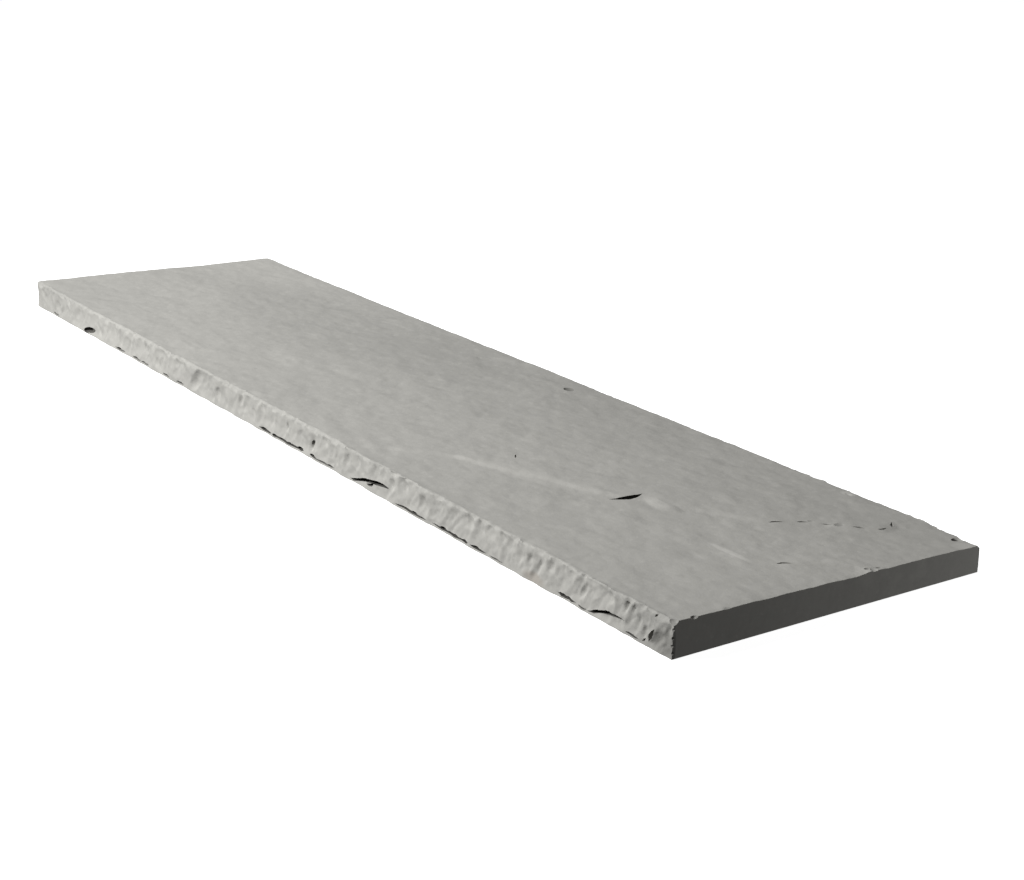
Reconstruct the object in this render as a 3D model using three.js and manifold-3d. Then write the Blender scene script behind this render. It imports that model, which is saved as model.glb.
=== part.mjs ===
// A sandstone coping stone: the long thin slab that caps a garden wall.
//
// It is one stone, so it is one solid. The top keeps its riven skin, where the rock parted along
// its bedding. Both long edges are pitched by hand, which leaves rows of shallow scoops. The two
// ends and the bed underneath are sawn flat.
//
// Millimetres, +Z up. X runs along the stone, the front edge faces -Y, and the bed is on Z = 0.

import * as THREE from 'three';
import { mergeVertices } from 'three/addons/utils/BufferGeometryUtils.js';
import Module from 'manifold-3d';

const wasm = await Module();
wasm.setup();

// Size of the stone.
const LENGTH = 1000;
const WIDTH = 250; // across the top, from arris to arris
const FRONT_THICKNESS = 24;
const BACK_THICKNESS = 20;
const PROUD = 1.9; // how far the pitched edges stand out beyond the arrises
const BATTER = 1; // how much further out an edge is at its foot than at its arris
const OUT_OF_SQUARE = 4; // how far the left saw cut has run in by the time it reaches the back

// The riven top.
const SWELL = 0.3; // height of the long slow waves
const LEFT_RISE = 0.35; // how far the top rises towards the left-hand end
const LEFT_RISE_RUN = 120; // the length over which it does
const SHEET_DROP = 1.1; // height of the broken rim of a sheet of bedding
const SHEET_RUN = 7; // how far such a rim takes to come down
const CELLS_ALONG = 40;
const CELLS_ACROSS = 10;

// The blank is larger than the stone where the saw will pass.
const SAW_WASTE = 15;
const BED_WASTE = 5;
const CLEAR = 12; // how far a cutter stands out of the stone

const FRONT = -WIDTH / 2;
const BACK = WIDTH / 2;
const RIGHT = LENGTH / 2;
const LEFT = -LENGTH / 2;
const FALL = Math.atan((FRONT_THICKNESS - BACK_THICKNESS) / WIDTH);
const MIDDLE_HEIGHT = (FRONT_THICKNESS + BACK_THICKNESS) / 2;
const { lerp, smoothstep, degToRad, seededRandom } = THREE.MathUtils;

// A closed geometry as a solid that can be cut.
function solidOf(geometry) {
  geometry.deleteAttribute('normal');
  geometry.deleteAttribute('uv');
  const merged = mergeVertices(geometry);
  return new wasm.Manifold(new wasm.Mesh({
    numProp: 3,
    vertProperties: merged.attributes.position.array,
    triVerts: new Uint32Array(merged.index.array),
  }));
}

// A solid's surface as a geometry, with one flat normal for each face.
function geometryOf(solid) {
  const { vertProperties, triVerts } = solid.getMesh();
  const indexed = new THREE.BufferGeometry();
  indexed.setAttribute('position', new THREE.BufferAttribute(vertProperties, 3));
  indexed.setIndex(new THREE.BufferAttribute(triVerts, 1));
  const geometry = indexed.toNonIndexed();
  geometry.computeVertexNormals();
  return geometry;
}

// ---------------------------------------------------------------- the riven blank

// Height of the top: it falls from front to back, two slow waves cross it, and it rises a little
// at the left-hand end.
function rivenHeight(x, y) {
  const level = lerp(FRONT_THICKNESS, BACK_THICKNESS, (y - FRONT) / WIDTH);
  const longWave = Math.sin(x / 118 + y / 74);
  const shortWave = Math.sin(x / 41 - y / 57 + 1.3);
  const rise = LEFT_RISE * (1 - smoothstep(x, LEFT, LEFT + LEFT_RISE_RUN));
  return level + SWELL * (longWave + 0.5 * shortWave - 1.2) + rise;
}

function rivenBlank() {
  const block = new THREE.BoxGeometry(
    LENGTH + 2 * SAW_WASTE, WIDTH, 1, CELLS_ALONG, CELLS_ACROSS, 1);
  const points = block.attributes.position;
  const footSpread = 1 + (2 * PROUD + BATTER) / WIDTH;
  const topSpread = 1 + (2 * PROUD - BATTER) / WIDTH;
  for (let i = 0; i < points.count; i++) {
    const onTop = points.getZ(i) > 0;
    const y = points.getY(i) * (onTop ? topSpread : footSpread);
    points.setY(i, y);
    points.setZ(i, onTop ? rivenHeight(points.getX(i), y) : -BED_WASTE);
  }
  return solidOf(block);
}

// ---------------------------------------------------------------- sheets lost from the top

// What a lost sheet leaves behind: a flat floor inside a sloping rim. The rim runs through the
// points of the broken line and then leaves the stone by the way out. The floor lies at a depth
// below the unbroken top at the middle of the stone, and it dips by so much for each millimetre
// along the stone and across it.
function lostSheet(brokenLine, wayOut, depth, dipAlong, dipAcross) {
  const outline = new THREE.Shape();
  outline.moveTo(...brokenLine[0]);
  outline.splineThru(brokenLine.slice(1).map(([x, y]) => new THREE.Vector2(x, y)));
  wayOut.forEach(([x, y]) => outline.lineTo(x, y));
  const cutter = new THREE.ExtrudeGeometry(outline, {
    depth: CLEAR,
    curveSegments: 3,
    bevelSize: SHEET_RUN,
    bevelThickness: SHEET_DROP,
    bevelSegments: 1,
  });
  cutter.translate(0, 0, SHEET_DROP - depth);
  cutter.rotateX(-FALL - dipAcross);
  cutter.rotateY(dipAlong);
  cutter.translate(0, 0, MIDDLE_HEIGHT);
  return solidOf(cutter);
}

// ---------------------------------------------------------------- scoops and slits

// A shallow hollow: a stretched ball, leaned over in the plane of the edge that it is struck from.
function scoop([x, y, z], [halfX, halfY, halfZ], leanDegrees = 0, detail = 1) {
  const ball = new THREE.IcosahedronGeometry(1, detail);
  ball.scale(halfX, halfY, halfZ);
  ball.rotateY(degToRad(leanDegrees));
  ball.translate(x, y, z);
  return solidOf(ball);
}

// The shape of a slit: widest in the middle of its line, and closing to nothing at both ends.
function slitOutline(line, opening) {
  const curve = new THREE.SplineCurve(line.map(([u, v]) => new THREE.Vector2(u, v)));
  const steps = 3 * (line.length - 1);
  const upper = [];
  const lower = [];
  for (let i = 0; i <= steps; i++) {
    const t = i / steps;
    const middle = curve.getPoint(t);
    const along = curve.getTangent(t);
    const half = opening / 2 * Math.sin(Math.PI * t) ** 0.6;
    upper.push(new THREE.Vector2(middle.x - along.y * half, middle.y + along.x * half));
    lower.unshift(new THREE.Vector2(middle.x + along.y * half, middle.y - along.x * half));
  }
  return new THREE.Shape([...upper, ...lower.slice(1, -1)]);
}

function slit(line, opening, depth) {
  return new THREE.ExtrudeGeometry(slitOutline(line, opening), {
    depth: depth + CLEAR,
    bevelEnabled: false,
  });
}

// A slit into the front edge. Its line is given as [x, z].
function frontSlit(line, opening, depth) {
  const cutter = slit(line, opening, depth);
  cutter.rotateX(Math.PI / 2);
  cutter.translate(0, FRONT + depth, 0);
  return solidOf(cutter);
}

// A slit into the top. Its line is given as [x, y].
function topSlit(line, opening, depth) {
  const cutter = slit(line, opening, depth);
  const [x, y] = line[0];
  cutter.translate(0, 0, rivenHeight(x, y) - depth);
  return solidOf(cutter);
}

// ---------------------------------------------------------------- the pitched edges

// Each blow of the pitching tool knocks a shallow flake off a long edge, and where two flakes meet
// they leave a crest that leans with the swing. A flake is cut by a large flat ball that stands
// almost clear of the edge. Its half-sizes are those of the hollow that it leaves.
const BALL_DEPTH = 12;
const OVERLAP = 1.3; // a flake is this much wider than the gap between its crests

function flake(x, height, halfWidth, halfHeight, bite, lean, outward) {
  const footprint = Math.sqrt(1 - (1 - bite / BALL_DEPTH) ** 2);
  const y = outward * (BACK + PROUD + BALL_DEPTH - bite);
  const halfSizes = [halfWidth / footprint, BALL_DEPTH, halfHeight / footprint];
  return scoop([x, y, height], halfSizes, lean, 4);
}

// The front edge, flake by flake. Each crest is its place along the stone, its lean from upright
// in degrees, and the depth of the flake to its right.
const FRONT_CRESTS = [
  [-522, 20, 1.2], [-489, 10, 1.3], [-450, 38, 1.0], [-415, 48, 1.2], [-376, 45, 1.1],
  [-338, 30, 1.3], [-291, 8, 1.1], [-258, 30, 1.2], [-226, 12, 1.2], [-190, 35, 1.1],
  [-140, 54, 2.1], [-97, 42, 1.2], [-58, 42, 1.5], [-20, 38, 1.3], [8, 25, 1.0], [30, 8, 1.3],
  [65, 24, 1.1], [76, 20, 1.4], [112, 18, 1.7], [152, 45, 1.2], [194, 42, 1.5], [224, 38, 1.2],
  [266, 12, 1.0], [290, 42, 1.3], [323, 8, 1.3], [352, 34, 1.0], [374, 34, 1.5], [411, 30, 1.9],
  [446, 38, 1.1], [458, 24, 1.2], [470, 20, 1.1], [482, 12, 1.4], [520, 5, 1.1]];

function pitchedFront() {
  return FRONT_CRESTS.slice(1).map(([there, leanThere], i) => {
    const [here, leanHere, bite] = FRONT_CRESTS[i];
    const lean = (leanHere + leanThere) / 2;
    const halfWidth = (there - here) / 2 * OVERLAP * Math.cos(degToRad(lean));
    return flake((here + there) / 2, 15, halfWidth, 16, bite, lean, -1);
  });
}

// Nothing tells one blow on the back edge from the next, so they come from a seeded draw.
function pitchedBack() {
  seededRandom(29);
  const flakes = [];
  let x = LEFT - SAW_WASTE;
  while (x < RIGHT + SAW_WASTE) {
    const gap = lerp(20, 48, seededRandom());
    const bite = Math.min(0.04 * gap, 1.3) * lerp(0.8, 1.2, seededRandom());
    const lean = -lerp(5, 50, seededRandom());
    const halfWidth = gap / 2 * OVERLAP * Math.cos(degToRad(lean));
    flakes.push(flake(x + gap / 2, 8, halfWidth, 13, bite, lean, 1));
    x += gap;
  }
  return flakes;
}

// ---------------------------------------------------------------- this stone's own marks

// Two sheets of bedding have gone from the right-hand end, one inside the other.
const outerSheet = lostSheet(
  [[106, -140], [135, -102], [152, -88], [185, -68], [225, -57], [262, -42], [296, -29],
    [318, -16], [342, -6], [372, 26], [400, 34], [413, 56], [432, 68], [450, 84], [455, 104],
    [464, 118], [472, 140]],
  [[530, 140], [530, -140]],
  1.45, -0.0016, 0.003);
const innerSheet = lostSheet(
  [[392, -42], [404, -28], [420, -27], [447, -23], [461, -9], [470, 6], [476, 22], [494, 34],
    [530, 42]],
  [[530, -140], [396, -140], [398, -80]],
  0.1, 0.0022, 0.002);

// The bedding gapes where the outer sheet broke off, and the lip beside it stands proud. So does
// a tongue of the next sheet, on the arris of the right-hand end.
const openBedding = topSlit([[309, -31], [313, -21], [314.5, -12], [312, -1]], 6, 4);
const raisedLips = [
  scoop([336, -2, MIDDLE_HEIGHT - 4.5], [38, 20, 5], 0, 4),
  scoop([RIGHT + 8, 31, MIDDLE_HEIGHT - 5.6], [34, 26, 5], 0, 4),
];

// Small pits in the top, and along the steep part of the outer rim.
const pits = [
  scoop([76, 106, 21], [5, 3, 2]),
  scoop([200, -31, 22.5], [3, 2, 2]),
  scoop([402, 39, 20.8], [1.5, 4, 1]),
  scoop([423, 68, 20.2], [5, 1.5, 1]),
  scoop([439, 82, 20], [3, 2, 1]),
  scoop([447, 96, 19.8], [1.5, 4, 1]),
];

// Where a bed came away in the front edge: a hollow, two long cracks and two steep ones.
const undercuts = [
  scoop([-370, FRONT - 1, 5], [12, 9, 3.4], -9, 2),
  frontSlit([[121, 0.9], [133, 2.8], [146, 6.4], [165, 8.8], [187, 9.7]], 3.6, 8),
  frontSlit([[414, 1], [427, 3.8], [441, 7], [458, 7.3]], 2.9, 7),
  frontSlit([[477, 1], [480, 7], [484, 15]], 2.4, 5),
  scoop([67.5, FRONT - PROUD, 11], [2, 2.4, 4.5], 20),
];

// Gaps along the foot of the front edge: the place, length and height of each.
const FOOT_GAPS = [
  [-297, 22, 1.6], [-260, 20, 1.8], [-236, 22, 1.8], [-194, 12, 1.8], [-7, 20, 2.0],
  [18, 26, 1.8], [43, 20, 2.2], [64, 12, 1.8], [90, 30, 2.0], [203, 18, 1.8], [225, 22, 1.8],
  [250, 24, 2.2], [277, 24, 2.0], [297, 12, 1.6], [394, 18, 2.4], [467, 12, 1.8]];
const LEDGE = 0.9; // what is left of the stone below a gap
const footGaps = FOOT_GAPS.map(([x, length, height]) => {
  const middle = LEDGE + height / 2;
  return frontSlit([[x - length / 2, middle], [x, middle + 0.2], [x + length / 2, middle]], height, 5);
});

// Chips off the corners and off the arris of the right-hand end.
const chips = [
  scoop([LEFT, BACK + 3, BACK_THICKNESS + 9.6], [45, 40, 10], 0, 4),
  scoop([RIGHT - 6, BACK + 6.5, 21], [22, 9, 6], 0, 2),
  scoop([RIGHT - 15, BACK - 2.5, 19.8], [4.5, 4, 2.4]),
  scoop([RIGHT + 2, 24, 21.9], [6, 3, 1.4]),
  scoop([RIGHT + 2, 33, 21.8], [7, 3.5, 1.6]),
  scoop([RIGHT + 2, 42, 21.6], [5, 3, 1.4]),
  scoop([RIGHT + 3, FRONT - 2, 24], [8, 5, 3.5]),
];

// ---------------------------------------------------------------- the saw

// What the saw leaves: a square right-hand end, a left-hand end a little out of square, and the
// flat bed.
function sawnBounds() {
  const beyond = WIDTH;
  const leftCut = (y) => LEFT + OUT_OF_SQUARE * (y - FRONT) / WIDTH;
  const plan = new THREE.Shape();
  plan.moveTo(leftCut(-beyond), -beyond);
  plan.lineTo(RIGHT, -beyond);
  plan.lineTo(RIGHT, beyond);
  plan.lineTo(leftCut(beyond), beyond);
  return solidOf(new THREE.ExtrudeGeometry(plan, {
    depth: 3 * FRONT_THICKNESS,
    bevelEnabled: false,
  }));
}

// ---------------------------------------------------------------- the finished stone

function copingStone() {
  let stone = rivenBlank().subtract(outerSheet).subtract(innerSheet);
  raisedLips.forEach((lip) => {
    stone = stone.add(lip);
  });
  const cuts = [
    openBedding,
    ...pits,
    ...undercuts,
    ...footGaps,
    ...chips,
    ...pitchedFront(),
    ...pitchedBack(),
  ];
  cuts.forEach((cut) => {
    stone = stone.subtract(cut);
  });
  const geometry = geometryOf(stone.intersect(sawnBounds()));

  // The frame stands at the middle of the bed, whatever the scoops took from each side.
  geometry.computeBoundingBox();
  const middle = geometry.boundingBox.getCenter(new THREE.Vector3());
  geometry.translate(-middle.x, -middle.y, -geometry.boundingBox.min.z);

  const sandstone = new THREE.MeshStandardMaterial({
    color: 0xa9a8a2,
    roughness: 0.9,
    metalness: 0,
    flatShading: true,
  });
  const mesh = new THREE.Mesh(geometry, sandstone);
  mesh.name = 'coping_stone';
  return mesh;
}

const part = new THREE.Group();
part.add(copingStone());

export default part;
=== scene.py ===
# %% [markdown]
# # A sandstone coping stone
#
# A coping is the long thin slab that caps a garden wall. This one was split from the quarry block,
# so its top is riven: it keeps the skin where the rock parted along its bedding. The two long edges
# were pitched with a hammer and a broad chisel, and the two short ends and the underside were sawn.
#
# The script works in the order that the mason did. It starts with a plain block, takes the loose
# sheets off the top, pitches the long edges, and gives the rock its grain. Only then do the saws
# cut the ends and the bed, so those come out flat. Everything is in metres, in the frame of the
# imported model: X runs along the stone, the front edge faces -Y and the bed lies on Z = 0.

import math
import random
import time

import bpy
import numpy as np
from mathutils import Matrix, Vector


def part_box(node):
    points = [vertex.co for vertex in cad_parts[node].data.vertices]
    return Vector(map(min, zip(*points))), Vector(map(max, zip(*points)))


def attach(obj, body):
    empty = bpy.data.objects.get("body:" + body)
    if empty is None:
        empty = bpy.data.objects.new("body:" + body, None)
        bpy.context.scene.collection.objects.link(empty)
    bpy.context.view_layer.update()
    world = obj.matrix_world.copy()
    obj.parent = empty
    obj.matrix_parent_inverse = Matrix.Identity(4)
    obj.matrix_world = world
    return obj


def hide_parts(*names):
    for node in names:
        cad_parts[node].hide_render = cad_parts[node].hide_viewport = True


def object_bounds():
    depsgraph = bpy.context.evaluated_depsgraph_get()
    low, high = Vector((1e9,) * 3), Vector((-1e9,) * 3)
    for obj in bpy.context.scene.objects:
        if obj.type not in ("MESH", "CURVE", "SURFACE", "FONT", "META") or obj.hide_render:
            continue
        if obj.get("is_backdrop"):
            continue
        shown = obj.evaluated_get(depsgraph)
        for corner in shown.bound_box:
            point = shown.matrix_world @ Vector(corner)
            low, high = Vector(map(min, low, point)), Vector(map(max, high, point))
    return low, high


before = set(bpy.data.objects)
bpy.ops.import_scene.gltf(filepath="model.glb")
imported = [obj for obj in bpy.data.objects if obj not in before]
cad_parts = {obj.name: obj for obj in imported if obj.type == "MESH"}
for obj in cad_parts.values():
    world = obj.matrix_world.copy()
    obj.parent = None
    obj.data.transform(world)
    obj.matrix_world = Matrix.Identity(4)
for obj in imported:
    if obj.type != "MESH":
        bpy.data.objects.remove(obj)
cad_low, cad_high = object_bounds()
low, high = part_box("coping_stone")
MM = 0.001
FRONT_THICKNESS = 24 * MM
BACK_THICKNESS = 20 * MM
PROUD = 1.9 * MM  # how far the pitched edges stand out beyond the arrises of the top
BATTER = 1.0 * MM  # how much further out an edge is at its foot than at its arris
LENGTH = high.x - low.x
WIDTH = round((high.y - low.y - 2 * PROUD - BATTER) / MM) * MM  # from arris to arris
RIGHT, LEFT = LENGTH / 2, -LENGTH / 2
BACK, FRONT = WIDTH / 2, -WIDTH / 2
print(f"the stone is {LENGTH:.3f} x {WIDTH:.3f} m, and up to {high.z:.4f} m thick")

# %% [markdown]
# ## Small helpers
#
# Blender's operators act on whatever is selected, so most mistakes in a script come from something
# that was left selected. One helper puts a new object in the scene, and one makes an object the
# only selected one. The others make a new primitive ready to be shaped, apply a modifier at once,
# and take one solid out of another.

# %% Helpers for objects and modifiers
started = time.perf_counter()


def tell(what):
    """Prints a result and how long the script has been working."""
    print(f"{time.perf_counter() - started:5.1f} s  {what}")


def new_object(name, data):
    made = bpy.data.objects.new(name, data)
    bpy.context.scene.collection.objects.link(made)
    return made


def select_only(piece):
    bpy.ops.object.select_all(action="DESELECT")
    piece.select_set(True)
    bpy.context.view_layer.objects.active = piece


def start_shaping(name):
    """Names the primitive that was just added, applies its place and enters edit mode."""
    piece = bpy.context.object
    piece.name = name
    bpy.ops.object.transform_apply(location=True, rotation=True, scale=True)
    bpy.ops.object.mode_set(mode="EDIT")
    return piece


def apply_modifier(piece, kind, **settings):
    """Adds a modifier, gives it its settings and applies it."""
    select_only(piece)
    modifier = piece.modifiers.new(kind.title(), kind)
    for name, value in settings.items():
        setattr(modifier, name, value)
    bpy.ops.object.modifier_apply(modifier=modifier.name)


def combine(piece, tool, operation="DIFFERENCE"):
    """Takes the tool's shape out of the piece, joins it on, or keeps only what both fill."""
    apply_modifier(piece, "BOOLEAN", operation=operation, solver="MANIFOLD", object=tool)
    bpy.data.objects.remove(tool)


# %% [markdown]
# ## The block
#
# The block is longer than the stone and deeper than its bed, because the saws pass last. It is
# thicker at the front than at the back, since rock seldom splits level, and its two long edges lean
# back a little. A cube is the right start: its corners are moved, and its top edges are eased.

# %% The block with its fall from front to back
SAW_WASTE = 15 * MM
BED_WASTE = 6 * MM
FRONT_ARRIS = 1.7 * MM
BACK_ARRIS = 1.4 * MM


def select_where(piece, wanted):
    """In edit mode: selects the vertices whose place passes a test."""
    bpy.ops.mesh.select_mode(type="VERT")
    bpy.ops.mesh.select_all(action="DESELECT")
    bpy.ops.object.mode_set(mode="OBJECT")
    for vertex in piece.data.vertices:
        vertex.select = wanted(vertex.co)
    bpy.ops.object.mode_set(mode="EDIT")


bpy.ops.object.select_all(action="DESELECT")
bpy.ops.mesh.primitive_cube_add(
    size=1, location=(0, 0, (FRONT_THICKNESS - BED_WASTE) / 2),
    scale=(LENGTH + 2 * SAW_WASTE, WIDTH + 2 * PROUD, FRONT_THICKNESS + BED_WASTE))
stone = start_shaping("split_and_pitched_stone")
select_where(stone, lambda p: p.z > 0 and p.y > 0)
bpy.ops.transform.translate(value=(0, 0, BACK_THICKNESS - FRONT_THICKNESS))
for side, arris in ((-1, FRONT_ARRIS), (1, BACK_ARRIS)):
    select_where(stone, lambda p: p.z < 0 and p.y * side > 0)
    bpy.ops.transform.translate(value=(0, side * BATTER / 2, 0))
    select_where(stone, lambda p: p.z > 0 and p.y * side > 0)
    bpy.ops.transform.translate(value=(0, -side * BATTER / 2, 0))
    bpy.ops.mesh.bevel(offset=arris, segments=3)
bpy.ops.object.mode_set(mode="OBJECT")
tell(f"block with {len(stone.data.vertices)} corners")

# %% [markdown]
# ## Sheets lost from the top
#
# The rock is laid down in sheets about a millimetre thick. At the right-hand end two of them
# have gone, and their broken rims run across the top. Each rim is drawn as an outline, the way you
# would draw it by hand: one vertex extruded from point to point, then a face to fill it. Its edges
# are subdivided and jogged at random, because rock doesn't break in smooth curves. Extruded upwards
# and inset below, it becomes a tool with a sloping rim that takes the sheet off.

# %% Drawing an outline, and making a solid of it
def draw(name, points):
    """Draws a closed flat outline from point to point and fills it. It stays in edit mode."""
    corners = [Vector(point) for point in points]
    bpy.ops.object.select_all(action="DESELECT")
    bpy.ops.mesh.primitive_plane_add(size=MM, location=corners[0])
    outline = start_shaping(name)
    bpy.ops.mesh.select_mode(type="VERT")
    bpy.ops.mesh.merge(type="CENTER")
    for here, there in zip(corners, corners[1:]):
        bpy.ops.mesh.extrude_region_move(TRANSFORM_OT_translate={"value": there - here})
    bpy.ops.mesh.select_all(action="SELECT")
    bpy.ops.mesh.edge_face_add()
    return outline


def extrude(offset, far_scale=1.0):
    """In edit mode: extrudes the selected face, and makes its far end larger or smaller."""
    bpy.ops.mesh.extrude_region_move(TRANSFORM_OT_translate={"value": offset})
    if far_scale != 1.0:
        bpy.ops.transform.resize(value=(far_scale, far_scale, far_scale))


def finish_tool(tool):
    """Turns the tool's faces outwards and leaves edit mode."""
    bpy.ops.mesh.select_all(action="SELECT")
    bpy.ops.mesh.normals_make_consistent(inside=False)
    bpy.ops.object.mode_set(mode="OBJECT")
    return tool


# %% A tool that takes off a sheet
FALL = math.atan2(FRONT_THICKNESS - BACK_THICKNESS, WIDTH)
MIDDLE_HEIGHT = (FRONT_THICKNESS + BACK_THICKNESS) / 2
CLEAR = 12 * MM  # how far the tool stands out of the stone


def lost_sheet(name, rim, slope, floor, jog):
    """A tool that takes off all that lies inside a rim.

    The slope is the drop and the run of the broken rim. The floor is how far it lies below the
    unbroken top at the middle of the stone, and how much deeper it gets per metre along X and Y.
    """
    drop, run = slope
    depth, along, across = floor
    tool = draw(name, [(x * MM, y * MM, 0) for x, y in rim])
    bpy.ops.mesh.subdivide(number_cuts=2)
    bpy.ops.transform.vertex_random(offset=jog, seed=3)
    bpy.ops.transform.resize(value=(1, 1, 0), center_override=(0, 0, 0))
    extrude((0, 0, CLEAR))
    select_where(tool, lambda p: p.z < CLEAR / 2)
    bpy.ops.mesh.select_mode(type="FACE")
    bpy.ops.mesh.inset(thickness=run, depth=drop)
    finish_tool(tool)
    tool.rotation_euler = (-FALL - across, along, 0)
    tool.location.z = MIDDLE_HEIGHT - depth + drop
    return tool


# %% The two lost sheets
OUTER_RIM = [
    (540, -150), (96, -150), (116, -118), (135, -99), (150, -86), (165, -75), (181, -64),
    (202, -58), (221, -52), (240, -44), (258, -36), (278, -29), (295, -23), (307, -17), (319, -7),
    (341, 0), (356, 11), (371, 21), (386, 29), (397, 37), (404, 47), (410, 58), (419, 66),
    (428, 70), (436, 79), (444, 87), (447, 96), (443, 106), (450, 114), (457, 121), (463, 150),
    (540, 150)]
INNER_RIM = [
    (540, -150), (385, -150), (386, -120), (390, -80), (391, -55), (394, -40), (402, -31),
    (413, -26), (430, -27), (447, -22), (457, -12), (463, -5), (470, 5), (473, 14), (476, 23),
    (486, 30), (498, 33), (540, 44)]
combine(stone, lost_sheet(
    "outer lost sheet", OUTER_RIM, slope=(0.95 * MM, 5.5 * MM), floor=(1.45 * MM, -0.0016, 0.003),
    jog=1.6 * MM))
combine(stone, lost_sheet(
    "inner lost sheet", INNER_RIM, slope=(0.9 * MM, 2.4 * MM), floor=(0.1 * MM, 0.0019, 0.002),
    jog=0.8 * MM))
tell(f"sheets off, {len(stone.data.polygons)} faces")

# %% [markdown]
# ## The pitched edges
#
# To pitch an edge the mason holds a broad chisel on the line and strikes it, and each blow knocks
# off a shallow flake. Where two flakes meet there is a crest, and the crests lean with the swing of
# the hammer. A large flattened ball that stands almost clear of the stone takes out such a flake:
# the flatter the ball, the more gently the flake runs out at its crest.

# %% One flake
def flake(name, place, half_sizes, bite, lean, outward=-1, ball_depth=12 * MM):
    """A leaning ball that takes a flake off a long edge.

    The place is [x, z] and the half-sizes are the flake's own, on the face. Outward is -1 for the
    front edge and 1 for the back one.
    """
    edge = (FRONT if outward < 0 else BACK) + outward * PROUD
    footprint = math.sqrt(1 - (1 - bite / ball_depth) ** 2)  # of the ball's own section
    bpy.ops.object.select_all(action="DESELECT")
    bpy.ops.mesh.primitive_ico_sphere_add(
        subdivisions=4, radius=1, rotation=(0, lean, 0),
        location=(place[0], edge + outward * (ball_depth - bite), place[1]),
        scale=(half_sizes[0] / footprint, ball_depth, half_sizes[1] / footprint))
    tool = bpy.context.object
    tool.name = name
    return tool


# %% Flakes of the front edge, between crests
# Each crest is a place along the stone, its lean from upright, and how deep the flake to its right
# goes, in millimetres and degrees.
FRONT_CRESTS = [
    (-522, 20, 1), (-489, 10, 1.1), (-450, 38, 0.8), (-415, 48, 1), (-376, 45, 0.9),
    (-338, 30, 1.1), (-291, 8, 0.9), (-258, 30, 1), (-226, 12, 1), (-190, 35, 0.9),
    (-140, 54, 1.9), (-97, 42, 1), (-58, 42, 1.3), (-20, 38, 1.1), (8, 25, 0.8), (30, 8, 1.1),
    (65, 24, 0.9), (76, 20, 1.2), (112, 18, 1.5), (152, 45, 1), (194, 42, 1.3), (224, 38, 1),
    (266, 12, 0.8), (290, 42, 1.1), (323, 8, 1.1), (352, 34, 0.8), (374, 34, 1.3), (411, 30, 1.7),
    (446, 38, 0.9), (458, 24, 1), (470, 20, 0.9), (482, 12, 0.4), (520, 5, 0.4)]
OVERLAP = 1.3  # a flake is this much wider than the gap between its crests
FLAKE_HALF_HEIGHT = 16 * MM
EXTRA_BITE = 0.2  # in millimetres: the remesh blunts a crest, so each flake goes a little deeper
chance = random.Random(5)
for here, there in zip(FRONT_CRESTS, FRONT_CRESTS[1:]):
    middle = (here[0] + there[0]) / 2 * MM
    half = (there[0] - here[0]) / 2 * OVERLAP * MM
    lean = math.radians((here[1] + there[1]) / 2)
    height = chance.uniform(13, 17) * MM
    half_sizes = (half * math.cos(lean), FLAKE_HALF_HEIGHT)
    bite = (here[2] + EXTRA_BITE) * MM
    combine(stone, flake("front flake", (middle, height), half_sizes, bite, lean))
tell("front edge pitched")

# %% [markdown]
# Beside the big flakes a struck edge loses many smaller ones. They are only a few millimetres
# across, and steeper, so they show as small shadows. A noise could scatter them, but each of these
# has its own place, lean and depth, so they are listed. The ball is less deep than the one above,
# which makes the walls of the dent steeper.

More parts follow.
